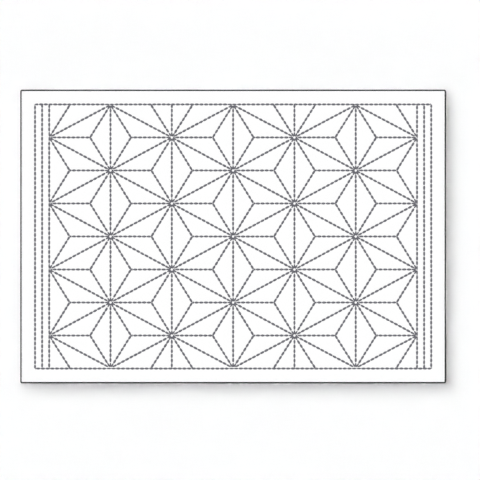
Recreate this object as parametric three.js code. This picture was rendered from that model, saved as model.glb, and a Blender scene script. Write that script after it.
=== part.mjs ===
// A white sashiko placemat: two layers of cotton turned in at the edge, quilted together by running stitches
// that draw a hemp-leaf pattern of stars inside a stitched frame.
// Millimetres, +Z up. The origin is on the underside, at the centre of the cloth, which lies flat on z = 0.
// The pattern is a grid of star points with a small triangle, called a leaf face here, between stitched lines.
// Each face of cloth stands up a little between the lines, and the cloth sinks along every stitched line.
import * as THREE from 'three';
import { mergeVertices } from 'three/addons/utils/BufferGeometryUtils.js';

// The pattern
const STAR_COLUMN = 65; // from one column of stars to the next
const STAR_ROW = 70; // from star to star in one column
const COLUMN_GAPS = 6;
const ROWS = 4;
const SIDE_LINES = 3; // upright stitched lines at each side, the innermost through the last column of stars
const SIDE_LINE_GAP = 7.5;
const MARGIN = 15; // plain cloth outside the stitched frame

// The cloth
const FACE_HEIGHT = 1.6; // two layers and the air between them
const STITCH_SINK = 0.5; // how far a stitched line draws the cloth down
const SLOPE_WIDTH = 2.6; // from a frame line to the full height beside it
const CORNER_RADIUS = 2.4;
const CORNER_STEPS = 6;
const MERGE_DISTANCE = 1e-4;

// How a leaf face rises from its stitched outline (share 1) to its middle (share 0).
const FACE_RINGS = [
  { share: 1.0, rise: 0.0 },
  { share: 0.76, rise: 0.6 },
  { share: 0.42, rise: 0.93 },
];

// The rolled edge, from the plain margin over its bead and down to the flat underside.
const HEM_PROFILE = [
  { inset: 2.0, height: 1.6 },
  { inset: 1.35, height: 1.68 },
  { inset: 0.8, height: 1.86 },
  { inset: 0.3, height: 1.7 },
  { inset: 0.0, height: 1.2 },
  { inset: 0.0, height: 0.6 },
  { inset: 0.35, height: 0.12 },
  { inset: 0.8, height: 0.0 },
];

// Worked out from the sizes above
const LINE_HEIGHT = FACE_HEIGHT - STITCH_SINK;
const HALF_ROW = STAR_ROW / 2;
const TIP_REACH = STAR_COLUMN / 3; // a leaf's tip is this far from the column of stars beside it
const FIELD_X = (COLUMN_GAPS * STAR_COLUMN) / 2;
const FRAME_X = FIELD_X + (SIDE_LINES - 1) * SIDE_LINE_GAP;
const FRAME_Y = (ROWS * STAR_ROW) / 2;
const CLOTH_X = FRAME_X + MARGIN;
const CLOTH_Y = FRAME_Y + MARGIN;
const HALF_ROWS = 2 * ROWS;

const corners = []; // three numbers for each corner of each triangle

function addTriangle(a, b, c) {
  corners.push(...a, ...b, ...c);
}

// The surface between two rings of the same number of points, both counter-clockwise from above.
function addBand(outer, inner) {
  outer.forEach((point, i) => {
    const next = (i + 1) % outer.length;
    addTriangle(point, outer[next], inner[next]);
    addTriangle(point, inner[next], inner[i]);
  });
}

// A flat stretch of cloth inside one ring and outside another, facing up or down.
function addFlat(ring, hole, height, faceUp) {
  const flat = (points) => points.map(([x, y]) => new THREE.Vector2(x, y));
  const holes = hole.length ? [flat(hole)] : [];
  const points = [...ring, ...hole].map(([x, y]) => [x, y, height]);
  for (const [i, j, k] of THREE.ShapeUtils.triangulateShape(flat(ring), holes)) {
    const upwards = THREE.ShapeUtils.area(flat([points[i], points[j], points[k]])) > 0;
    if (upwards === faceUp) addTriangle(points[i], points[j], points[k]);
    else addTriangle(points[i], points[k], points[j]);
  }
}

// The row lines of the pattern, numbered from 0 at the bottom, and whether a column has a star on one.
const rowY = (row) => -FRAME_Y + row * HALF_ROW;
const columnX = (column) => -FIELD_X + column * STAR_COLUMN;
const hasStar = (column, row) => (column + row) % 2 === 1;

// The three stitched sides of a leaf face as a counter-clockwise triangle.
function leafFace(a, b, c) {
  const turn = (b[0] - a[0]) * (c[1] - a[1]) - (c[0] - a[0]) * (b[1] - a[1]);
  return turn > 0 ? [a, b, c] : [a, c, b];
}

// The leaves that lie along the slanting lines: two in each cell between two columns and two row lines.
function slantingFaces() {
  const faces = [];
  for (let column = 0; column < COLUMN_GAPS; column++) {
    for (let row = 0; row < HALF_ROWS; row++) {
      const rises = hasStar(column, row);
      const [left, right] = [columnX(column), columnX(column + 1)];
      const [leftY, rightY] = rises ? [rowY(row), rowY(row + 1)] : [rowY(row + 1), rowY(row)];
      const leftStar = [left, leftY];
      const rightStar = [right, rightY];
      faces.push(leafFace(leftStar, rightStar, [right - TIP_REACH, leftY]));
      faces.push(leafFace(leftStar, rightStar, [left + TIP_REACH, rightY]));
    }
  }
  return faces;
}

// The leaves on both sides of each upright line, cut in half where the frame crosses them.
function uprightFaces() {
  const faces = [];
  for (let column = 0; column <= COLUMN_GAPS; column++) {
    const x = columnX(column);
    const sides = [-1, 1].filter((side) => Math.abs(x + side * TIP_REACH) < FIELD_X);
    for (let row = 0; row <= HALF_ROWS; row++) {
      if (hasStar(column, row)) continue;
      const below = [x, Math.max(rowY(row - 1), -FRAME_Y)];
      const above = [x, Math.min(rowY(row + 1), FRAME_Y)];
      for (const side of sides) faces.push(leafFace(below, above, [x + side * TIP_REACH, rowY(row)]));
    }
  }
  return faces;
}

// One face of cloth, rising in rings from its stitched outline to the centre of its inscribed circle.
function addFace(face) {
  const side = face.map((_, i) => {
    const [p, q] = [face[(i + 1) % 3], face[(i + 2) % 3]];
    return Math.hypot(p[0] - q[0], p[1] - q[1]);
  });
  const around = side[0] + side[1] + side[2];
  const middle = [0, 1].map((axis) => face.reduce((sum, p, i) => sum + p[axis] * side[i], 0) / around);
  const rings = FACE_RINGS.map(({ share, rise }) =>
    face.map(([x, y]) => [
      middle[0] + (x - middle[0]) * share,
      middle[1] + (y - middle[1]) * share,
      LINE_HEIGHT + rise * STITCH_SINK,
    ])
  );
  for (let k = 1; k < rings.length; k++) addBand(rings[k - 1], rings[k]);
  const last = rings[rings.length - 1];
  last.forEach((point, i) => addTriangle(point, last[(i + 1) % 3], [...middle, FACE_HEIGHT]));
}

// Where the side lines have a corner: at the frame and at each star of the outermost columns.
function sideStops() {
  const stars = [];
  for (let row = 0; row <= HALF_ROWS; row++) if (hasStar(0, row)) stars.push(rowY(row));
  return [-FRAME_Y, ...stars, FRAME_Y];
}

// The rib of cloth between two neighbouring side lines, with its inner points drawn in from the lines.
function addRib(left, right) {
  const stops = sideStops();
  const draw = (right - left) / 3;
  const last = stops.length - 1;
  const innerY = (i) => stops[i] + (i === 0 ? draw : 0) - (i === last ? draw : 0);
  const order = stops.map((_, i) => i);
  const back = [...order].reverse();
  const outer = [
    ...order.map((i) => [right, stops[i], LINE_HEIGHT]),
    ...back.map((i) => [left, stops[i], LINE_HEIGHT]),
  ];
  const inner = [
    ...order.map((i) => [right - draw, innerY(i), FACE_HEIGHT]),
    ...back.map((i) => [left + draw, innerY(i), FACE_HEIGHT]),
  ];
  addBand(outer, inner);
  addFlat(inner, [], FACE_HEIGHT, true);
}

// Every corner on the stitched frame, counter-clockwise from its lower left.
function frameRing() {
  const across = [];
  for (let line = 0; line < SIDE_LINES; line++) across.push(-FRAME_X + line * SIDE_LINE_GAP);
  for (let column = 0; column <= COLUMN_GAPS; column++) {
    const x = columnX(column);
    const points = hasStar(column, 0) ? [x] : [x - TIP_REACH, x, x + TIP_REACH];
    across.push(...points.filter((p) => Math.abs(p) < FIELD_X - MERGE_DISTANCE));
  }
  for (let line = SIDE_LINES - 1; line >= 0; line--) across.push(FRAME_X - line * SIDE_LINE_GAP);
  const up = sideStops().slice(1, -1);
  return [
    ...across.map((x) => [x, -FRAME_Y]),
    ...up.map((y) => [FRAME_X, y]),
    ...across.map((x) => [-x, FRAME_Y]),
    ...up.map((y) => [-FRAME_X, -y]),
  ];
}

// The cloth's outline, drawn in by an inset, with its corners as arcs.
function clothRing(inset, height) {
  const radius = Math.max(CORNER_RADIUS - inset, CORNER_RADIUS / 4);
  const [x, y] = [CLOTH_X - inset - radius, CLOTH_Y - inset - radius];
  const ring = [];
  [[x, -y], [x, y], [-x, y], [-x, -y]].forEach(([cx, cy], quarter) => {
    for (let step = 0; step <= CORNER_STEPS; step++) {
      const angle = (Math.PI / 2) * (quarter - 1 + step / CORNER_STEPS);
      ring.push([cx + radius * Math.cos(angle), cy + radius * Math.sin(angle), height]);
    }
  });
  return ring;
}

// The plain margin rises from the frame line and runs out flat to the rolled edge.
function addMargin() {
  const frame = frameRing();
  const outwards = (value, limit) => {
    if (Math.abs(value) > limit - MERGE_DISTANCE) return value + Math.sign(value) * SLOPE_WIDTH;
    return value;
  };
  const risen = frame.map(([x, y]) => [outwards(x, FRAME_X), outwards(y, FRAME_Y), FACE_HEIGHT]);
  addBand(risen, frame.map(([x, y]) => [x, y, LINE_HEIGHT]));
  addFlat(clothRing(HEM_PROFILE[0].inset, FACE_HEIGHT), risen, FACE_HEIGHT, true);
}

function addHemAndUnderside() {
  const rings = HEM_PROFILE.map(({ inset, height }) => clothRing(inset, height));
  for (let k = 1; k < rings.length; k++) addBand(rings[k], rings[k - 1]);
  addFlat(rings[rings.length - 1], [], 0, false);
}

function clothGeometry() {
  slantingFaces().forEach(addFace);
  uprightFaces().forEach(addFace);
  for (let line = 1; line < SIDE_LINES; line++) {
    const outer = FRAME_X - (line - 1) * SIDE_LINE_GAP;
    addRib(outer - SIDE_LINE_GAP, outer);
    addRib(-outer, -outer + SIDE_LINE_GAP);
  }
  addMargin();
  addHemAndUnderside();
  const geometry = new THREE.BufferGeometry();
  geometry.setAttribute('position', new THREE.Float32BufferAttribute(corners, 3));
  const merged = mergeVertices(geometry, MERGE_DISTANCE);
  merged.computeVertexNormals();
  return merged;
}

const cotton = new THREE.MeshStandardMaterial({ name: 'cotton', color: 0xfbfbf9, roughness: 0.92, metalness: 0 });

const cloth = new THREE.Mesh(clothGeometry(), cotton);
cloth.name = 'cloth';

const placemat = new THREE.Group();
placemat.add(cloth);

export default placemat;
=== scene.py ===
"""A white cotton placemat quilted with slate grey running stitches in the hemp-leaf pattern.

The cloth lies flat on the floor. Sizes are in millimetres until a mesh is made, with +Z up and the origin
on the underside at the centre of the cloth. Every surface is worked out as whole arrays.
"""

import math

import bpy
import numpy as np
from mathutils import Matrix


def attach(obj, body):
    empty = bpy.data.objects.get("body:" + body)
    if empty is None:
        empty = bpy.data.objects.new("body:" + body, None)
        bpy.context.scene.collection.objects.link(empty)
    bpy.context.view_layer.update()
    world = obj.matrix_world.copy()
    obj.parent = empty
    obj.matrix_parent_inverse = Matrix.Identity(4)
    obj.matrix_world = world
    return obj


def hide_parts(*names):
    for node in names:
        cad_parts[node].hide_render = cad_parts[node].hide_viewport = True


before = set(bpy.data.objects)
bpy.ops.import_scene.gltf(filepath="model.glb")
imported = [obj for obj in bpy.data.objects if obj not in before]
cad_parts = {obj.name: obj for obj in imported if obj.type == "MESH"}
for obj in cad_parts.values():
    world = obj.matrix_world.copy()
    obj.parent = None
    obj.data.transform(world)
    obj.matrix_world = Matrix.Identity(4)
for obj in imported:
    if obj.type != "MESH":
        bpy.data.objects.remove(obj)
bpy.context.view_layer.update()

MM = 0.001

# The pattern, as in the solid
STAR_COLUMN = 65.0
STAR_ROW = 70.0
COLUMN_GAPS = 6
ROWS = 4
HALF_ROW = STAR_ROW / 2
HALF_ROWS = 2 * ROWS
TIP_REACH = STAR_COLUMN / 3
SIDE_LINE_GAP = 7.5
MARGIN = 15.0
FIELD_X = COLUMN_GAPS * STAR_COLUMN / 2
FRAME_X = FIELD_X + 2 * SIDE_LINE_GAP
FRAME_Y = ROWS * STAR_ROW / 2
CLOTH_X = FRAME_X + MARGIN
CLOTH_Y = FRAME_Y + MARGIN
NEAR = 0.1  # a point this close to a line of the pattern is on it

# The running stitch
PITCH = 5.0  # from one stitch to the next on its line
STITCH = 4.96  # length of a whole stitch
SHORTEST = 0.7  # anything shorter isn't stitched
THREAD_WIDTH = 2.24  # of a stitch along the weave
BIAS_WIDTH = 2.33  # of a slanting stitch, which spreads more
THREAD_RISE = 0.62  # height of a stitch as it lies
THREAD_TURN = 5.0  # length in which the thread twists once round
LOBE = 0.06  # how far the two lobes of its section stand out, as a share of its radius
CROWN = 0.20  # how far a stitch's middle line lies above the stitched line
LEAST_CROWN = 0.45  # share of that height that a short stitch has at least
DIVE = 0.24  # how far its ends go down into the cloth
# How much higher a slanting line, a leaf tip and a level line lie than an upright one
SLANTING_LIFT = 0.03
LEAF_TIP_LIFT = 0.06
LEVEL_LIFT = 0.02
SIDES = 6  # corners of every thread's section
ROUND = 2 * math.pi * np.arange(SIDES) / SIDES  # the angles of those corners
# Where its sections are, from -1 at one end to 1 at the other
FRONT_RINGS = np.array([-1.0, -0.94, -0.72, -0.38, 0.0, 0.38, 0.72, 0.94, 1.0])

# How unevenly a stitch is sewn: its ends, how far aside and how slanting it lies, and its height
END_SPREAD = 0.06
SIDE_SPREAD = 0.05
SLANT_SPREAD = 0.03
HEIGHT_SPREAD = 0.02
# The least and most of its full width, and of its full thickness
WIDTH_SHARES = (0.96, 1.05)
RISE_SHARES = (0.94, 1.06)

# Round the middle of a star
STAR_HOLE = 1.2  # radius left open
STAR_STITCH_END = 5.7  # where a stitch that comes out of the open middle ends
STAR_SHORTEST = 1.6  # anything shorter isn't stitched there
STAR_ROOM = 6.5  # distance from which a stitch has its full width
STAR_NARROW = 0.78  # share of the width that it keeps at least
FAR = 1e6  # where a run without stars is said to have one

# Along the top and bottom the needle kept clear of the frame: the half stars there are this far inside it,
# and the leaf tips on it reach this much further
HALF_STAR_INSET = 0.5
TIP_SPREAD = 0.65

# From a star to the end of each line that starts there, and the first stitch's middle on it: where the line
# stays within the field, where it starts at the top or bottom line, and where it ends there
SLANTING = (
    (STAR_COLUMN, HALF_ROW, 0.25, -0.01, -0.04),
    (STAR_COLUMN, -HALF_ROW, 3.33, 3.38, 3.33),
)
LEAF_TIPS = (
    (TIP_REACH, HALF_ROW, 3.67, 3.28, 2.77),
    (-TIP_REACH, HALF_ROW, 3.63, 3.70, 3.66),
    (TIP_REACH, -HALF_ROW, 3.32, 3.39, 3.34),
    (-TIP_REACH, -HALF_ROW, 3.66, 3.26, 2.82),
)
LEVEL = (
    (2 * TIP_REACH, 0.0, 0.63, 0.63, 0.63),
    (-2 * TIP_REACH, 0.0, 3.68, 3.68, 3.68),
)
# The first stitch's middle on the columns that have a star on the bottom line, and on the others
UPRIGHT_FIRST = (3.59, 3.44)
# Each side line's place and how far below the top line its first stitch's middle is
SIDE_LINES = (
    (-FRAME_X, 3.39),
    (-FRAME_X + SIDE_LINE_GAP, 1.37),
    (-FIELD_X, 1.45),
    (FIELD_X, 3.28),
    (FRAME_X - SIDE_LINE_GAP, 3.39),
    (FRAME_X, 1.32),
)
TOP_FIRST = 1.43
BOTTOM_FIRST = 3.34

# The thread's short ways under the cloth
BACK_RINGS = np.array([-1.0, -0.6, 0.0, 0.6, 1.0])
BACK_WIDTH = 0.8
BACK_THICKNESS = 0.3
BACK_END = 0.5  # how far each end reaches past the needle's hole, up into the cloth
BACK_HEIGHT = 0.18  # of its middle line
BACK_TURN_UP = 0.35  # how far the ends turn up
BACK_WIDTH_SHARES = (0.9, 1.08)  # the least and most of its full width
BACK_SPREAD = 0.02  # how unevenly high it lies

# The cloth
FACE = 1.5  # height of the face between the lines
SINK = 0.34  # how far a stitched line lies below it
SINK_REACH = 2.6  # distance in which that falls to about a third
BACK_SINK = 0.34  # how far the underside is drawn up along a line
BACK_REACH = 1.6  # distance in which that falls to about a third
LINE_SOFTNESS = 0.6  # distance in which the fold of a line is rounded
PUCKER = 0.04  # how far a stitch presses the cloth down
PUCKER_REACH = 2.2
STAR_DIP = 0.1  # how much lower the cloth lies at a star's middle
STAR_DIP_REACH = 2.4
UNEVEN = 0.03  # height of the long waves
UNEVEN_WAVES = 9
UNEVEN_TURNS = (0.09, 0.32)  # radians in a millimetre
UNEVEN_FADE = 10.0  # width in which they fade out towards the rolled edge
EDGE_ZONE = 2.0  # width of the rolled edge
CORNER_RADIUS = 1.2
CORNER_STEPS = 6
CELLS_X = 312  # both counts are even, because the underside has half as many cells
CELLS_Y = 214

# The rolled edge as distance in from the edge and height, from the face round to the underside
ROLL = np.array(
    [
        (1.65, 1.48),
        (1.30, 1.44),
        (1.00, 1.41),
        (0.68, 1.40),
        (0.30, 1.43),
        (-0.05, 1.38),
        (-0.28, 1.15),
        (-0.34, 0.85),
        (-0.24, 0.60),
        (0.08, 0.46),
        (0.55, 0.44),
        (1.05, 0.36),
        (1.45, 0.22),
        (1.75, 0.08),
    ]
)

# The overcast thread round the rolled edge
OVERCAST_PITCH = 1.0
OVERCAST_HALF = (0.60, 0.20)  # half the thread's width and half its thickness
OVERCAST_LEAN = 0.32  # how far a turn leans to each side
OVERCAST_SPREAD = 0.05  # how unevenly far on a turn is wound
OVERCAST_SWELL = 0.03  # how unevenly far out a turn lies
OVERCAST_TURN = 6.0  # more than the length of a turn
LOWEST = 0.01  # it doesn't go below this height
# Its way as distance in from the edge, height and share of the full width
OVERCAST_WAY = np.array(
    [
        (0.80, 1.28, 0.45),
        (0.68, 1.52, 0.8),
        (0.26, 1.68, 1.0),
        (-0.20, 1.60, 1.0),
        (-0.48, 1.18, 1.0),
        (-0.49, 0.72, 1.0),
        (-0.22, 0.34, 1.0),
        (0.36, 0.23, 0.8),
        (0.78, 0.50, 0.45),
    ]
)

# The finishes
WEAVE_TILE = 50.0  # the weave repeats after this length
THREADS_PER_TILE = 100
SLUB_ACROSS = 60.0  # how fine the slubs are across a thread
SLUB_ALONG = 1.6  # and along it
FUZZ = 42.0  # how fine the fuzz is both ways
# The cotton's colours: the dark end is painted shade where the weave lies low, the light end the threads'
# tops and slubs
COTTON_DARK = (0.786, 0.786, 0.786, 1)
COTTON_LIGHT = (0.936, 0.936, 0.936, 1)
COTTON_BUMP = (0.00010, 0.55)  # depth in metres, and strength
THREAD_TILE = 64.0  # length of the threads' pattern
THREAD_BANDS = 8  # strips of it side by side
FIBRE_ALONG = 0.7  # how fine the fibres are along a thread
FIBRE_AROUND = 34.0  # and round it
SLOW_ALONG = 0.22  # how fine the slow change of a thread's shade is
THREAD_BUMP = (0.00012, 0.7)  # depth in metres, and strength
# The threads' colours: the dark ends are painted shade in the plies' creases, mixed with the fibres' tone
SLATE_DARK = (0.0675, 0.0678, 0.0806, 1)
SLATE_LIGHT = (0.169, 0.169, 0.196, 1)
EDGE_DARK = (0.009, 0.009, 0.009, 1)
EDGE_LIGHT = (0.022, 0.022, 0.022, 1)
FLOOR_WHITE = (0.9, 0.9, 0.9, 1)
FLOOR_REACH = 30.0  # in metres

# The camera
CAMERA_X = 7.31
CAMERA_Y = -3.73
CAMERA_HEIGHT = 2500.0
VIEW_WIDTH = 508.82  # how much of the cloth's face goes across the picture
SENSOR = 36.0

# The bank of low lamps on the upper left, and how far it throws the cloth's shadow
LOW_LAMPS = 26
LOW_SHARE = 0.48  # of the light that a white floor sends back
LIGHT_FROM = 138.0  # where it stands, in degrees from the X axis
BANK_HALF = 30.0  # half of its spread round the cloth, in degrees
BANK_STEPS = (0.7548777, 0.5698403)  # added again and again, these fill a square evenly
SHADOW_REACH = 21.3  # of the longest shadow
SHADOW_CROWDING = 0.55  # power of an even number that gives a lamp's share of the reach
SHADOW_EDGE = 1.8  # height of the rolled edge with its thread
LAMP_SOFTNESS = 2.2  # how far one lamp's shadow spreads, along its way
NEAREST_THROW = 2.0
NARROWEST_LAMP = 1.0  # in degrees
# Each lamp's share, and its height and width in degrees
HIGH_LAMP = (0.39, 86.0, 8.0)
CLOTH_LAMP = (0.51, 72.0, 36.0)
WORLD_SHARE = 0.25

rng = np.random.default_rng(35)


def make_camera():
    """A long lens straight above the cloth, so that the picture's 480 pixels are 509 mm of its face."""
    data = bpy.data.cameras.new("camera")
    data.sensor_width = SENSOR
    data.lens = SENSOR * (CAMERA_HEIGHT - FACE) / VIEW_WIDTH
    data.clip_start = 0.1
    data.clip_end = 100.0
    camera = bpy.data.objects.new("camera", data)
    camera.location = (CAMERA_X * MM, CAMERA_Y * MM, CAMERA_HEIGHT * MM)
    bpy.context.scene.collection.objects.link(camera)
    bpy.context.scene.camera = camera


class Runs:
    """Straight runs of stitches: where each starts, its direction, its length, its first stitch's middle,
    the stars on it, the first at star_at and one more each star_every, and the radius left open in their
    middle."""

    def __init__(self, start, step, first, star_at, star_every, hole=STAR_HOLE):
        self.start = np.atleast_2d(np.asarray(start, float))
        step = np.broadcast_to(np.asarray(step, float), self.start.shape)
        self.length = np.hypot(step[:, 0], step[:, 1])
        self.along = step / self.length[:, None]
        count = len(self.start)
        self.first = np.broadcast_to(np.asarray(first, float), count)
        self.star_at = np.broadcast_to(np.asarray(star_at, float), count)
        self.star_every = np.broadcast_to(np.asarray(star_every, float), count)
        self.hole = np.full(count, float(hole))

    def nearest_star(self, where, run):
        """Distance along the run of the star nearest to a place on it."""
        at, every = self.star_at[run], self.star_every[run]
        return at + every * np.round((where - at) / every)


def joined_runs(parts):
    """All the runs of several families as one."""
    whole = Runs.__new__(Runs)
    for name in ("start", "length", "along", "first", "star_at", "star_every", "hole"):
        setattr(whole, name, np.concatenate([getattr(part, name) for part in parts]))
    return whole


def star_points():
    """Star middles: on every second row line of a column, and on the other row lines in the next."""
    column, row = np.meshgrid(np.arange(COLUMN_GAPS + 1), np.arange(HALF_ROWS + 1), indexing="ij")
    has_star = (column + row) % 2 == 1
    x = -FIELD_X + column[has_star] * STAR_COLUMN
    y = -FRAME_Y + row[has_star] * HALF_ROW
    return np.stack([x, y], axis=1)


def on_frame(points):
    """Whether points of the field are on the frame's top or bottom line."""
    return np.abs(points[..., 1]) > FRAME_Y - NEAR


def drawn_in(stars):
    """Stars as they are sewn: those on the top and bottom lines lie a little inside."""
    inset = np.where(on_frame(stars), HALF_STAR_INSET * np.sign(stars[:, 1]), 0.0)
    return stars - inset[:, None] * (0.0, 1.0)


def spokes(stars, kinds, star_at_end=False):
    """Runs that start at each star and end inside the frame, one for each kind of spoke."""
    parts = []
    for dx, dy, first, first_from_frame, first_to_frame in kinds:
        end = stars + (dx, dy)
        inside = (np.abs(end[:, 0]) < FIELD_X + NEAR) & (np.abs(end[:, 1]) < FRAME_Y + NEAR)
        if dy == 0:
            inside &= ~on_frame(stars)
        start, end = stars[inside], end[inside]
        first = np.where(on_frame(start), first_from_frame, np.where(on_frame(end), first_to_frame, first))
        if star_at_end:
            end = drawn_in(end)
        else:
            end = end + np.where(on_frame(end), TIP_SPREAD * np.sign(dx), 0.0)[:, None] * (1.0, 0.0)
        step = end - drawn_in(start)
        every = np.hypot(*step.T) if star_at_end else FAR
        parts.append(Runs(drawn_in(start), step, first, 0.0, every))
    return joined_runs(parts)


def upright_runs():
    """The five inner columns, from the bottom line to the top line. Where a column has a star on the bottom
    line, its lowest part is counted from that star."""
    column = np.arange(1, COLUMN_GAPS)
    x = -FIELD_X + column * STAR_COLUMN
    starred, plain = x[column % 2 == 1], x[column % 2 == 0]
    low_star = -FRAME_Y + HALF_STAR_INSET
    second_star = -FRAME_Y + STAR_ROW
    lowest = np.stack([starred, np.full(len(starred), low_star)], axis=1)
    upper = np.stack([starred, np.full(len(starred), second_star)], axis=1)
    whole = np.stack([plain, np.full(len(plain), -FRAME_Y)], axis=1)
    low_way = second_star - low_star
    upper_way = FRAME_Y - HALF_STAR_INSET - second_star
    return joined_runs(
        [
            Runs(lowest, (0.0, low_way), UPRIGHT_FIRST[0], 0.0, low_way),
            Runs(upper, (0.0, upper_way), UPRIGHT_FIRST[0], 0.0, STAR_ROW),
            Runs(whole, (0.0, 2 * FRAME_Y), UPRIGHT_FIRST[1], HALF_ROW, STAR_ROW),
        ]
    )


def frame_runs():
    """Three upright lines at each side, and the top and bottom lines, all going on through their stars."""
    parts = []
    for x, first in SIDE_LINES:
        stars = (HALF_ROW, STAR_ROW) if abs(x) == FIELD_X else (-FAR, 1000 * FAR)
        parts.append(Runs((x, FRAME_Y), (0.0, -2 * FRAME_Y), first, *stars, hole=0.0))
    stars = (FRAME_X - FIELD_X + STAR_COLUMN, 2 * STAR_COLUMN)
    for y, first in ((FRAME_Y, TOP_FIRST), (-FRAME_Y, BOTTOM_FIRST)):
        parts.append(Runs((-FRAME_X, y), (2 * FRAME_X, 0.0), first, *stars, hole=0.0))
    return joined_runs(parts)


def front_spans(runs):
    """Each stitch's run and its two ends along it: a stitch every pitch, cut off at the ends of the run and
    at the open middle of a star, shorter where it comes out of one, and left out where too little of it is
    left."""
    count = int(runs.length.max() / PITCH) + 2
    middle = runs.first[:, None] + PITCH * np.arange(-1, count)
    which = np.broadcast_to(np.arange(len(runs.first))[:, None], middle.shape)
    star = runs.nearest_star(middle, which)
    after = middle >= star
    near = np.abs(middle - star) - STITCH / 2
    far = near + STITCH
    hole = runs.hole[which]
    cut = (hole > 0) & (near < hole)
    near = np.where(cut, hole, near)
    far = np.where(cut, np.minimum(far, STAR_STITCH_END), far)
    low = np.maximum(star + np.where(after, near, -far), 0.0)
    high = np.minimum(star + np.where(after, far, -near), runs.length[:, None])
    kept = high - low > np.where(cut, STAR_SHORTEST, SHORTEST)
    return which[kept], low[kept], high[kept]


def back_spans(run, low, high):
    """The thread's ways under the cloth, from the end of each stitch to the start of the next."""
    same = run[1:] == run[:-1]
    return run[1:][same], high[:-1][same], low[1:][same]


def nearest_line(points, runs):
    """For each point its distance from the nearest run, and how far past that run's first stitch it is."""
    distance = np.full(len(points), np.inf)
    phase = np.zeros(len(points))
    for start, along, length, first in zip(runs.start, runs.along, runs.length, runs.first, strict=True):
        offset = points - start
        where = np.clip(offset @ along, 0.0, length)
        away = np.hypot(*(offset - where[:, None] * along).T)
        nearer = away < distance
        distance = np.where(nearer, away, distance)
        phase = np.where(nearer, where - first, phase)
    return distance, phase


def random_waves():
    """How many radians each wave turns in a millimetre, its direction and its shift."""
    return [
        (rng.uniform(*UNEVEN_TURNS), rng.uniform(0, math.pi), rng.uniform(0, 2 * math.pi))
        for _ in range(UNEVEN_WAVES)
    ]


def unevenness(points):
    """A few long waves of random direction added up, fading out towards the edge."""
    total = np.zeros(len(points))
    for turns, way, shift in waves:
        total += np.cos(turns * (points[:, 0] * math.cos(way) + points[:, 1] * math.sin(way)) + shift)
    inside = np.minimum(CLOTH_X - np.abs(points[:, 0]), CLOTH_Y - np.abs(points[:, 1]))
    return UNEVEN * total / math.sqrt(UNEVEN_WAVES) * np.clip((inside - EDGE_ZONE) / UNEVEN_FADE, 0, 1)


def star_distance(points, stars):
    """Distance from the nearest star's middle."""
    away = np.full(len(points), np.inf)
    for star in stars:
        away = np.minimum(away, np.hypot(*(points - star).T))
    return away


def softened(distance):
    """A distance whose sharp start is rounded off."""
    return np.hypot(distance, LINE_SOFTNESS) - LINE_SOFTNESS


def face_heights(points, runs, stars):
    """The face rises from each stitched line as one minus a falling exponential of the distance, is pressed
    down a little under each stitch and up between two, and dips at the stars."""
    distance, phase = nearest_line(points, runs)
    sunk = SINK * np.exp(-softened(distance) / SINK_REACH)
    ripple = np.cos(2 * math.pi * phase / PITCH) * np.exp(-((distance / PUCKER_REACH) ** 2))
    dip = np.exp(-((star_distance(points, stars) / STAR_DIP_REACH) ** 2))
    return FACE - sunk - PUCKER * ripple - STAR_DIP * dip + unevenness(points)


def back_heights(points, runs):
    """The underside touches the floor between the lines and is drawn up along them."""
    distance, _ = nearest_line(points, runs)
    return BACK_SINK * np.exp(-softened(distance) / BACK_REACH)


def grid_points(cells_x, cells_y):
    """A regular grid over the flat part of the cloth, inside its rolled edge."""
    x = np.linspace(-CLOTH_X + EDGE_ZONE, CLOTH_X - EDGE_ZONE, cells_x + 1)
    y = np.linspace(-CLOTH_Y + EDGE_ZONE, CLOTH_Y - EDGE_ZONE, cells_y + 1)
    return np.stack(np.meshgrid(x, y), axis=-1)


def grid_quads(index):
    """The four corners of each cell, counter-clockwise from above."""
    corners = [index[:-1, :-1], index[:-1, 1:], index[1:, 1:], index[1:, :-1]]
    return np.stack(corners, axis=-1).reshape(-1, 4)


def grid_border(index):
    """The border of a grid of indices, counter-clockwise from its lower left corner, each corner once."""
    return np.concatenate([index[0, :-1], index[:-1, -1], index[-1, :0:-1], index[:0:-1, 0]])


def corner_fans(cells_x, cells_y):
    """For each point of a ring of the rolled edge: which border point it belongs to, its outward direction,
    and whether it is on a corner. A corner's border point has a fan of directions through a right angle."""
    corner = np.array([0, cells_x, cells_x + cells_y, 2 * cells_x + cells_y])
    count = 2 * (cells_x + cells_y)
    repeats = np.ones(count, int)
    repeats[corner] = CORNER_STEPS + 1
    border = np.repeat(np.arange(count), repeats)
    side = np.searchsorted(corner, border, side="right") - 1
    angle = (side - 1) * math.pi / 2
    first = np.searchsorted(border, corner)
    steps = np.arange(CORNER_STEPS + 1)
    fan = first[:, None] + steps
    angle[fan] = (np.arange(4)[:, None] - 2 + steps / CORNER_STEPS) * math.pi / 2
    on_corner = np.zeros(len(border))
    on_corner[fan] = 1.0
    return border, np.stack([np.cos(angle), np.sin(angle)], axis=1), on_corner


def corner_radius(inset):
    """The rounding of the cloth's corners, less and less further in."""
    return CORNER_RADIUS * (1 - inset / EDGE_ZONE)


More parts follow.
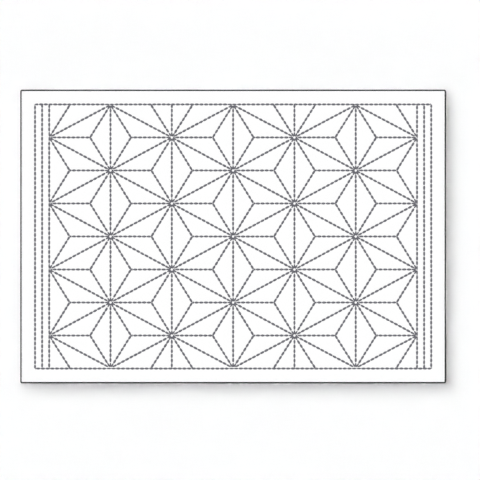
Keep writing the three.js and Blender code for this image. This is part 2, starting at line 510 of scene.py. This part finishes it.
def add_mesh(name, points, groups, material, map_name):
    """A mesh from points in millimetres and groups of faces, with the corners' places on the pattern."""
    corners = np.concatenate([faces.ravel() for faces, _ in groups]).astype(np.int32)
    sizes = np.concatenate([np.full(len(faces), faces.shape[1]) for faces, _ in groups])
    places = np.concatenate([uv.reshape(-1, 2) for _, uv in groups]).astype(np.float32)
    mesh = bpy.data.meshes.new(name)
    mesh.vertices.add(len(points))
    mesh.vertices.foreach_set("co", (points * MM).astype(np.float32).ravel())
    mesh.loops.add(len(corners))
    mesh.loops.foreach_set("vertex_index", corners)
    mesh.polygons.add(len(sizes))
    starts = np.concatenate([[0], np.cumsum(sizes)[:-1]]).astype(np.int32)
    mesh.polygons.foreach_set("loop_start", starts)
    mesh.polygons.foreach_set("use_smooth", np.ones(len(sizes), bool))
    for layer_name in (map_name, "OFBake"):
        layer = mesh.uv_layers.new(name=layer_name)
        layer.data.foreach_set("uv", places.ravel())
    mesh.update(calc_edges=True)
    if mesh.validate():
        print("mended mesh", name)
    mesh.materials.append(material)
    piece = bpy.data.objects.new(name, mesh)
    bpy.context.scene.collection.objects.link(piece)
    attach(piece, "root")
    return piece


def edge_rings(face, face_border, outward, on_corner):
    """The rings of the rolled edge. Each follows the border of the face at its own reach, straight out
    along the sides and round a quarter circle at the corners."""
    rounding = corner_radius(ROLL[:, 0])[:, None] * on_corner
    reach = EDGE_ZONE - ROLL[:, :1] - rounding
    diagonal = np.where(on_corner[:, None] > 0, np.sign(face[face_border]), outward)
    flat = face[face_border] + reach[..., None] * diagonal + rounding[..., None] * outward
    heights = np.broadcast_to(ROLL[:, 1][:, None, None], (*flat.shape[:2], 1))
    return np.concatenate([flat, heights], axis=2).reshape(-1, 3)


def ring_faces(inner, outer, places, places_after):
    """Quads between two rings, and triangles where several points of one ring meet one of the other. Each
    ring has its points' places on the pattern."""
    after_inner, after_outer = np.roll(inner, -1), np.roll(outer, -1)
    around, around_after = np.roll(places, -1, axis=0), np.roll(places_after, -1, axis=0)
    quads = np.stack([inner, outer, after_outer, after_inner], axis=1)
    spots = np.stack([places, places_after, around_after, around], axis=1) / WEAVE_TILE
    inner_meets, outer_meets = inner == after_inner, outer == after_outer
    whole = ~(inner_meets | outer_meets)
    return [
        (quads[whole], spots[whole]),
        (quads[inner_meets][:, :3], spots[inner_meets][:, :3]),
        (quads[outer_meets][:, [0, 1, 3]], spots[outer_meets][:, [0, 1, 3]]),
    ]


def make_cloth(runs, stars, material):
    """The placemat as one closed surface: a fine grid for the face, rings round the rolled edge, and a grid
    of twice the spacing for the underside."""
    flat = grid_points(CELLS_X, CELLS_Y)
    flat_back = grid_points(CELLS_X // 2, CELLS_Y // 2)
    face = flat.reshape(-1, 2)
    back = flat_back.reshape(-1, 2)
    border, outward, on_corner = corner_fans(CELLS_X, CELLS_Y)
    face_index = np.arange(len(face)).reshape(flat.shape[:2])
    face_border = grid_border(face_index)[border]
    points = [
        np.column_stack([face, face_heights(face, runs, stars)]),
        edge_rings(face, face_border, outward, on_corner),
        np.column_stack([back, back_heights(back, runs)]),
    ]
    ring_index = len(face) + np.arange(len(points[1])).reshape(len(ROLL), -1)
    back_index = len(face) + ring_index.size + np.arange(len(back)).reshape(flat_back.shape[:2])

    # The underside's border has one point for every two of the last ring
    back_border = grid_border(back_index)
    half = (border // 2 + border % 2) % len(back_border)
    rings = [face_border, *ring_index, back_border[half]]

    # Each ring's place on the pattern is as far from the face's border as it is over the roll
    profile = np.vstack([(EDGE_ZONE, FACE), ROLL, (EDGE_ZONE, 0.0)])
    over = np.concatenate([[0.0], np.cumsum(np.hypot(*np.diff(profile, axis=0).T))])
    laid = face[face_border][None] + over[:, None, None] * outward[None]

    quads = grid_quads(face_index)
    groups = [(quads, face[quads] / WEAVE_TILE)]
    for level in range(len(rings) - 1):
        groups += ring_faces(rings[level], rings[level + 1], laid[level], laid[level + 1])
    quads = grid_quads(back_index)[:, ::-1]
    mirrored = back * (-1.0, 1.0)
    groups.append((quads, mirrored[quads - back_index[0, 0]] / WEAVE_TILE))
    return add_mesh("placemat_cloth", np.concatenate(points), groups, material, "weave")


def tube_groups(rings, along, band):
    """Faces of many closed tubes. rings has the points as (tube, ring, around); along is each ring's
    distance along its thread, and band the strip of the pattern that each tube uses."""
    tubes, steps, sides = rings.shape[:3]
    index = np.arange(tubes * steps * sides).reshape(tubes, steps, sides)
    after = np.roll(index, -1, axis=2)
    quads = np.stack([index[:, :-1], after[:, :-1], after[:, 1:], index[:, 1:]], axis=-1)
    u = along[:, :, None] / THREAD_TILE
    v = (band[:, None, None] + np.arange(sides + 1) / sides) / THREAD_BANDS
    u, v = np.broadcast_arrays(u, v)
    place = np.stack([u, v], axis=-1)
    corners = [place[:, :-1, :-1], place[:, :-1, 1:], place[:, 1:, 1:], place[:, 1:, :-1]]
    spots = np.stack(corners, axis=3)
    caps = np.concatenate([index[:, 0, ::-1], index[:, -1]])
    cap_spots = np.concatenate([place[:, 0, -2::-1], place[:, -1, :-1]])
    return [(quads.reshape(-1, 4), spots.reshape(-1, 4, 2)), (caps, cap_spots)]


def add_tubes(name, rings, along, material):
    """Closed tubes as one piece, each with a strip of the thread's pattern picked by chance."""
    band = rng.integers(0, THREAD_BANDS, len(rings))
    return add_mesh(name, rings.reshape(-1, 3), tube_groups(rings, along, band), material, "thread")


def left_of(ways):
    """Each direction turned a quarter to the left."""
    return np.stack([-ways[:, 1], ways[:, 0]], axis=1)


def level_rings(flat, height, across, up, sideways):
    """Points of threads that lie level: each ring's corners are across and up from its middle."""
    rings = np.empty((*across.shape, 3))
    rings[..., :2] = flat[:, :, None] + across[..., None] * sideways[:, None, None]
    rings[..., 2] = height[..., None] + up
    return rings


def make_stitches(name, runs, width, lift, material):
    """Stitches on the face, each a flattened tube of six sides. With t from -1 to 1 along a stitch, its
    middle line is raised by one minus the eighth power of t and dives into the cloth at both ends. Its
    width narrows like a grain's, by 0.58 plus 0.42 times the power 1.3 of one minus the power 1.5 of t, and
    is drawn together at the ends by 0.7 plus 0.3 times the root of one minus the sixteenth power of t. The
    section is an ellipse with two lobes that turn with the twist. Near a star the stitches are pressed
    narrower, and thinner by a fifth as much, so that twelve find room. Each stitch's ends, width, height
    and place are a little uneven."""
    run, low, high = front_spans(runs)
    count = len(run)
    low = low + rng.uniform(-END_SPREAD, END_SPREAD, count)
    high = high + rng.uniform(-END_SPREAD, END_SPREAD, count)
    middle, half = (low + high) / 2, (high - low) / 2
    t = FRONT_RINGS[None]
    where = middle[:, None] + half[:, None] * t
    star = runs.nearest_star(where, np.broadcast_to(run[:, None], where.shape))
    room = np.clip(np.abs(where - star) / STAR_ROOM, STAR_NARROW, 1.0)
    grain = 0.58 + 0.42 * (1 - np.abs(t) ** 1.5) ** 1.3
    taper = grain * (0.7 + 0.3 * np.sqrt(1 - np.abs(t) ** 16))
    rise = 1 - np.abs(t) ** 8
    wide = width / 2 * taper * room * rng.uniform(*WIDTH_SHARES, count)[:, None]
    tall = THREAD_RISE / 2 * taper * rng.uniform(*RISE_SHARES, count)[:, None] * (0.8 + 0.2 * room)
    aside = rng.uniform(-SIDE_SPREAD, SIDE_SPREAD, count)[:, None]
    aside = aside + SLANT_SPREAD * t * rng.uniform(-1, 1, count)[:, None]

    forward = runs.along[run]
    sideways = left_of(forward)
    flat = runs.start[run][:, None] + where[..., None] * forward[:, None]
    flat = flat + aside[..., None] * sideways[:, None]
    ground = FACE - SINK + unevenness(flat.reshape(-1, 2)).reshape(flat.shape[:2])
    short = np.clip(half / (STITCH / 2), LEAST_CROWN, 1.0)[:, None]
    height = ground + lift + CROWN * rise * short - DIVE * (1 - rise)
    height = height + rng.uniform(-HEIGHT_SPREAD, HEIGHT_SPREAD, count)[:, None]

    thread_start = rng.uniform(0, THREAD_TILE - 2 * STITCH, count)
    along = thread_start[:, None] + where - low[:, None]
    lobes = 1 + LOBE * np.cos(2 * (ROUND - 2 * math.pi * along[..., None] / THREAD_TURN))
    across = wide[..., None] * np.cos(ROUND) * lobes
    up = tall[..., None] * np.sin(ROUND) * lobes
    return add_tubes(name, level_rings(flat, height, across, up, sideways), along, material)


def make_back_stitches(runs, stars, material):
    """The short ways of the thread under the cloth, pressed flat against it, and the threads that cross
    under the open middle of each star. With t from -1 to 1 along one, its width is 0.35 plus 0.65 times the
    root of one minus the third power of t, and with the same power its ends turn up into the cloth."""
    run, low, high = back_spans(*front_spans(runs))
    start = runs.start[run] + low[:, None] * runs.along[run]
    end = runs.start[run] + high[:, None] * runs.along[run]
    whole = stars[(np.abs(stars[:, 0]) < FIELD_X - NEAR) & (np.abs(stars[:, 1]) < FRAME_Y - NEAR)]
    for dx, dy, *_ in (*SLANTING, *LEAF_TIPS[::2], LEVEL[0]):
        way = np.array((dx, dy)) / math.hypot(dx, dy)
        start = np.concatenate([start, whole - STAR_HOLE * way])
        end = np.concatenate([end, whole + STAR_HOLE * way])
    count = len(start)
    length = np.hypot(*(end - start).T)
    forward = (end - start) / length[:, None]
    t = BACK_RINGS[None]
    half = length / 2 + BACK_END
    flat = ((start + end) / 2)[:, None] + (half[:, None] * t)[..., None] * forward[:, None]
    taper = 0.35 + 0.65 * np.sqrt(1 - np.abs(t) ** 3)
    wide = BACK_WIDTH / 2 * taper * rng.uniform(*BACK_WIDTH_SHARES, count)[:, None]
    tall = BACK_THICKNESS / 2 * taper
    height = BACK_HEIGHT + BACK_TURN_UP * np.abs(t) ** 3 + rng.uniform(0, BACK_SPREAD, count)[:, None]
    along = rng.uniform(0, THREAD_TILE - 2 * STITCH, count)[:, None] + half[:, None] * (t + 1)
    across = wide[..., None] * np.cos(ROUND)
    up = tall[..., None] * np.sin(ROUND)
    rings = level_rings(flat, height, across, up, left_of(forward))
    return add_tubes("back_stitches", rings, along, material)


def edge_line():
    """The line round which the edge is overcast: half its straight sides, and its corners' radius."""
    radius = corner_radius(0.0)
    return CLOTH_X - radius, CLOTH_Y - radius, radius


def edge_places(where):
    """Point, outward direction and way on along the cloth's outline, counter-clockwise from the lower left
    corner: four straight sides and four quarter circles."""
    x, y, radius = edge_line()
    arc = radius * math.pi / 2
    lengths = np.array([2 * x, arc, 2 * y, arc] * 2)
    ends = np.cumsum(lengths)
    part = np.searchsorted(ends, where, side="right")
    inside = where - (ends - lengths)[part]
    starts = [(-x, -y), (x, -y), (x, -y), (x, y), (x, y), (-x, y), (-x, y), (-x, -y)]
    centre = np.array(starts)[part]
    straight = part % 2 == 0
    angle = (part // 2 - 1 + np.where(straight, 0.0, inside / arc)) * math.pi / 2
    outward = np.stack([np.cos(angle), np.sin(angle)], axis=1)
    onward = left_of(outward)
    point = centre + radius * outward + np.where(straight, inside, 0.0)[:, None] * onward
    return point, outward, onward


def make_overcast(material):
    """Thread wound round the rolled edge: each turn follows one way round the roll, from the face over the
    edge to the underside, leans a little, and is a flattened tube of six sides whose ends sink into the
    cloth. Its flat side faces away from the middle of the roll. Towards its ends a turn grows narrower,
    and thinner by six tenths as much."""
    x, y, radius = edge_line()
    total = 4 * (x + y) + 2 * math.pi * radius
    count = round(total / OVERCAST_PITCH)
    where = (np.arange(count) + 0.5) * total / count
    where = where + rng.uniform(-OVERCAST_SPREAD, OVERCAST_SPREAD, count)
    point, outward, onward = edge_places(where)
    way_out, way_up, share = -OVERCAST_WAY[:, 0], OVERCAST_WAY[:, 1], OVERCAST_WAY[:, 2]
    slope = np.stack([np.gradient(way_out), np.gradient(way_up)])
    slope /= np.hypot(*slope)
    away_out, away_up = -slope[1], slope[0]
    lean = OVERCAST_LEAN * np.linspace(1, -1, len(share))

    broad = OVERCAST_HALF[0] * share[:, None] * np.cos(ROUND)
    thick = OVERCAST_HALF[1] * (0.4 + 0.6 * share[:, None]) * np.sin(ROUND)
    swell = rng.uniform(-OVERCAST_SWELL, OVERCAST_SWELL, count)[:, None, None]
    out = (way_out[:, None] + away_out[:, None] * thick) + swell * away_out[:, None]
    up = (way_up[:, None] + away_up[:, None] * thick) + swell * away_up[:, None]
    shift = lean[:, None] + broad
    rings = np.empty((*out.shape, 3))
    rings[..., :2] = point[:, None, None] + out[..., None] * outward[:, None, None]
    rings[..., :2] += shift[..., None] * onward[:, None, None]
    rings[..., 2] = np.maximum(up, LOWEST)
    turn_length = np.concatenate([[0.0], np.cumsum(np.hypot(np.diff(way_out), np.diff(way_up)))])
    along = rng.uniform(0, THREAD_TILE - OVERCAST_TURN, count)[:, None] + turn_length
    return add_tubes("edge_overcast", rings, along, material)


class Nodes:
    """A material's node tree, with one call for each kind of node."""

    def __init__(self, name):
        self.material = bpy.data.materials.new(name)
        self.material.use_nodes = True
        self.tree = self.material.node_tree
        self.shader = self.tree.nodes["Principled BSDF"]

    def put(self, value, socket):
        if isinstance(value, bpy.types.NodeSocket):
            self.tree.links.new(value, socket)
        else:
            socket.default_value = value

    def node(self, kind, inputs=None, **settings):
        made = self.tree.nodes.new(kind)
        for key, value in settings.items():
            setattr(made, key, value)
        for key, value in (inputs or {}).items():
            self.put(value, made.inputs[key])
        return made

    def math(self, operation, a, b=None, c=None):
        values = {i: v for i, v in enumerate((a, b, c)) if v is not None}
        return self.node("ShaderNodeMath", values, operation=operation).outputs[0]

    def mix(self, share, a, b):
        inputs = {0: share, 2: a, 3: b}
        return self.node("ShaderNodeMix", inputs, data_type="FLOAT").outputs[0]

    def colour(self, share, a, b):
        inputs = {0: share, 6: a, 7: b}
        return self.node("ShaderNodeMix", inputs, data_type="RGBA").outputs[2]

    def point(self, x, y, z):
        return self.node("ShaderNodeCombineXYZ", {0: x, 1: y, 2: z}).outputs[0]

    def map_axes(self, map_name):
        place = self.node("ShaderNodeUVMap", uv_map=map_name).outputs[0]
        axes = self.node("ShaderNodeSeparateXYZ", {0: place})
        return axes.outputs[0], axes.outputs[1]

    def bump(self, height, depth, strength):
        inputs = {"Height": height, "Distance": depth, "Strength": strength}
        return self.node("ShaderNodeBump", inputs).outputs["Normal"]


def ring_noise(nodes, u, v, scale_u, scale_v, detail):
    """Noise that repeats with the pattern: each axis is wound on a circle, so noise in four dimensions
    meets itself."""
    turn_u = nodes.math("MULTIPLY", u, 2 * math.pi)
    turn_v = nodes.math("MULTIPLY", v, 2 * math.pi)
    at = nodes.point(
        nodes.math("MULTIPLY", nodes.math("COSINE", turn_u), scale_u),
        nodes.math("MULTIPLY", nodes.math("SINE", turn_u), scale_u),
        nodes.math("MULTIPLY", nodes.math("COSINE", turn_v), scale_v),
    )
    fourth = nodes.math("MULTIPLY", nodes.math("SINE", turn_v), scale_v)
    inputs = {"Vector": at, "W": fourth, "Scale": 1.0, "Detail": detail, "Roughness": 0.55}
    return nodes.node("ShaderNodeTexNoise", inputs, noise_dimensions="4D").outputs[0]


def woven_cotton():
    """Bleached cotton in plain weave. In each crossing the upper thread's height is the square root of the
    sine across it, times a half plus half the sine along it; which thread is the upper one changes as on a
    chessboard. Slubs make some stretches of thread thicker and lighter, and fuzz roughens them all. The
    colour is painted darker where the weave lies low, as shade between the threads."""
    nodes = Nodes("white_cotton")
    u, v = nodes.map_axes("weave")
    u, v = nodes.math("FRACT", u), nodes.math("FRACT", v)
    x = nodes.math("MULTIPLY", u, THREADS_PER_TILE)
    y = nodes.math("MULTIPLY", v, THREADS_PER_TILE)
    warp, weft = nodes.math("FLOOR", x), nodes.math("FLOOR", y)
    sine_x = nodes.math("SINE", nodes.math("MULTIPLY", nodes.math("FRACT", x), math.pi))
    sine_y = nodes.math("SINE", nodes.math("MULTIPLY", nodes.math("FRACT", y), math.pi))
    sine_x, sine_y = nodes.math("MAXIMUM", sine_x, 0.0), nodes.math("MAXIMUM", sine_y, 0.0)
    warp_over = nodes.math(
        "MULTIPLY", nodes.math("SQRT", sine_x), nodes.math("MULTIPLY_ADD", sine_y, 0.5, 0.5)
    )
    weft_over = nodes.math(
        "MULTIPLY", nodes.math("SQRT", sine_y), nodes.math("MULTIPLY_ADD", sine_x, 0.5, 0.5)
    )
    odd = nodes.math("MODULO", nodes.math("ADD", warp, weft), 2.0)
    over = nodes.mix(odd, warp_over, weft_over)
    slub_warp = ring_noise(nodes, u, v, SLUB_ACROSS, SLUB_ALONG, 1.0)
    slub_weft = ring_noise(nodes, u, v, SLUB_ALONG, SLUB_ACROSS, 1.0)
    slub = nodes.mix(odd, slub_warp, slub_weft)
    fuzz = ring_noise(nodes, u, v, FUZZ, FUZZ, 2.0)
    body = nodes.math("MULTIPLY", over, nodes.math("MULTIPLY_ADD", slub, 0.7, 0.65))
    height = nodes.math("MULTIPLY_ADD", fuzz, 0.22, body)
    # painted shade: the colour darkens where the weave lies low, between the threads; the slubs add a real
    # lighter tone
    shade = nodes.math("MULTIPLY_ADD", slub, 0.35, nodes.math("MULTIPLY", over, 0.75))
    nodes.put(nodes.colour(shade, COTTON_DARK, COTTON_LIGHT), nodes.shader.inputs["Base Color"])
    nodes.put(nodes.math("MULTIPLY_ADD", fuzz, 0.12, 0.84), nodes.shader.inputs["Roughness"])
    nodes.put(nodes.bump(height, *COTTON_BUMP), nodes.shader.inputs["Normal"])
    nodes.shader.inputs["Specular IOR Level"].default_value = 0.25
    nodes.shader.inputs["Sheen Weight"].default_value = 0.12
    nodes.shader.inputs["Sheen Roughness"].default_value = 0.45
    return nodes.material


def twisted_thread(name, dark, light, plies, gloss):
    """Cotton thread. A ply's crease is where the distance round the thread, less the turns made so far, is
    a whole number of plies; the colour is painted darker there, as shade in the crease. Fibres are noise
    stretched along the ply, and a slower noise changes the tone along each thread. The gloss is the weight
    of the fuzzy sheen, and half the specular level."""
    nodes = Nodes(name)
    u, v = nodes.map_axes("thread")
    along = nodes.math("MULTIPLY", u, THREAD_TILE)
    banded = nodes.math("MULTIPLY", v, THREAD_BANDS)
    around = nodes.math("FRACT", banded)
    turned = nodes.math("SUBTRACT", around, nodes.math("DIVIDE", along, THREAD_TURN))
    crease = nodes.math("ABSOLUTE", nodes.math("SINE", nodes.math("MULTIPLY", turned, plies * math.pi)))
    round_ply = nodes.math("SQRT", crease)
    fibre_u = nodes.math("MULTIPLY", along, FIBRE_ALONG)
    at = nodes.point(fibre_u, nodes.math("MULTIPLY", turned, FIBRE_AROUND), banded)
    fibre = nodes.node("ShaderNodeTexNoise", {"Vector": at, "Scale": 1.0, "Detail": 3.0}).outputs[0]
    slow_at = nodes.point(nodes.math("MULTIPLY", along, SLOW_ALONG), nodes.math("FLOOR", banded), 3.7)
    slow = nodes.node("ShaderNodeTexNoise", {"Vector": slow_at, "Scale": 1.0, "Detail": 1.0}).outputs[0]
    # painted shade in the plies' creases, mixed with the fibres' real tone; the slow noise's tone is real
    # too
    shade = nodes.math("MULTIPLY", round_ply, nodes.math("MULTIPLY_ADD", fibre, 0.7, 0.5))
    shade = nodes.math("MULTIPLY_ADD", nodes.math("SUBTRACT", slow, 0.5), 0.5, shade)
    nodes.put(nodes.colour(shade, dark, light), nodes.shader.inputs["Base Color"])
    height = nodes.math("MULTIPLY_ADD", fibre, 0.35, round_ply)
    nodes.put(nodes.math("MULTIPLY_ADD", fibre, 0.2, 0.66), nodes.shader.inputs["Roughness"])
    nodes.put(nodes.bump(height, *THREAD_BUMP), nodes.shader.inputs["Normal"])
    nodes.shader.inputs["Specular IOR Level"].default_value = 2 * gloss
    nodes.shader.inputs["Sheen Weight"].default_value = gloss
    nodes.shader.inputs["Sheen Roughness"].default_value = 0.4
    return nodes.material


def make_floor():
    """A plain white floor, wide enough to fill the picture from any side."""
    mesh = bpy.data.meshes.new("floor")
    r = FLOOR_REACH
    mesh.from_pydata([(-r, -r, 0), (r, -r, 0), (r, r, 0), (-r, r, 0)], [], [(0, 1, 2, 3)])
    material = bpy.data.materials.new("floor_white")
    material.use_nodes = True
    shader = material.node_tree.nodes["Principled BSDF"]
    shader.inputs["Base Color"].default_value = FLOOR_WHITE
    shader.inputs["Roughness"].default_value = 1.0
    shader.inputs["Specular IOR Level"].default_value = 0.0
    mesh.materials.append(material)
    floor = bpy.data.objects.new("floor", mesh)
    bpy.context.scene.collection.objects.link(floor)
    return floor


def sun(name, share, elevation, width, lit=(), light_from=LIGHT_FROM):
    """A distant soft lamp that adds share to what a white surface sends back, with its angles in degrees.
    It may light some objects alone, as a flag on a stand would make it, and still casts the others' shadows
    on them."""
    data = bpy.data.lights.new(name, "SUN")
    data.energy = math.pi * share / math.sin(math.radians(elevation))
    data.angle = math.radians(width)
    lamp = bpy.data.objects.new(name, data)
    lamp.rotation_euler = (0.0, math.radians(90 - elevation), math.radians(light_from))
    bpy.context.scene.collection.objects.link(lamp)
    if lit:
        receivers = bpy.data.collections.new(name + "_receivers")
        for thing in lit:
            receivers.objects.link(thing)
        lamp.light_linking.receiver_collection = receivers


def low_elevation(thrown):
    """How high a lamp stands, in degrees, that throws the edge's shadow so far."""
    return math.degrees(math.atan2(SHADOW_EDGE, thrown))


def make_light(floor, pieces):
    """A broad bank of soft low lamps that only the floor sees, and soft light from above. Two numbers place
    each low lamp: round the cloth, and by how far it throws the shadow. Both start at a half, and from lamp
    to lamp each grows by its own fraction and drops what is over a whole, which fills a square evenly."""
    for number in range(LOW_LAMPS):
        round_share, throw_share = [(0.5 + number * step) % 1.0 for step in BANK_STEPS]
        light_from = LIGHT_FROM + BANK_HALF * (2 * round_share - 1)
        thrown = SHADOW_REACH * throw_share**SHADOW_CROWDING
        highest = low_elevation(max(thrown - LAMP_SOFTNESS, NEAREST_THROW))
        width = max(highest - low_elevation(thrown + LAMP_SOFTNESS), NARROWEST_LAMP)
        share = LOW_SHARE / LOW_LAMPS
        sun(f"low_light_{number:02d}", share, low_elevation(thrown), width, [floor], light_from)
    sun("overhead_light", *HIGH_LAMP)
    sun("cloth_light", *CLOTH_LAMP, pieces)
    world = bpy.data.worlds.new("studio")
    world.use_nodes = True
    background = world.node_tree.nodes["Background"]
    background.inputs[0].default_value = (1, 1, 1, 1)
    background.inputs[1].default_value = WORLD_SHARE
    bpy.context.scene.world = world
    bpy.context.scene.view_settings.view_transform = "Standard"


make_camera()
waves = random_waves()
star_middles = star_points()
upright = upright_runs()
slanting = spokes(star_middles, SLANTING, star_at_end=True)
leaf_tips = spokes(star_middles, LEAF_TIPS)
level_lines = spokes(star_middles, LEVEL)
outer_frame = frame_runs()
all_runs = joined_runs([upright, slanting, leaf_tips, level_lines, outer_frame])

cotton = woven_cotton()
slate_thread = twisted_thread("slate_thread", SLATE_DARK, SLATE_LIGHT, plies=4, gloss=0.15)
edge_thread = twisted_thread("edge_thread", EDGE_DARK, EDGE_LIGHT, plies=3, gloss=0.04)

cloth = make_cloth(all_runs, star_middles, cotton)
threads = [
    make_stitches("upright_stitches", upright, THREAD_WIDTH, 0.0, slate_thread),
    make_stitches("slanting_stitches", slanting, BIAS_WIDTH, SLANTING_LIFT, slate_thread),
    make_stitches("leaf_tip_stitches", leaf_tips, BIAS_WIDTH, LEAF_TIP_LIFT, slate_thread),
    make_stitches("level_stitches", level_lines, THREAD_WIDTH, LEVEL_LIFT, slate_thread),
    make_stitches("frame_stitches", outer_frame, THREAD_WIDTH, 0.0, slate_thread),
    make_back_stitches(all_runs, star_middles, slate_thread),
    make_overcast(edge_thread),
]
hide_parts("cloth")

make_light(make_floor(), [cloth, *threads])
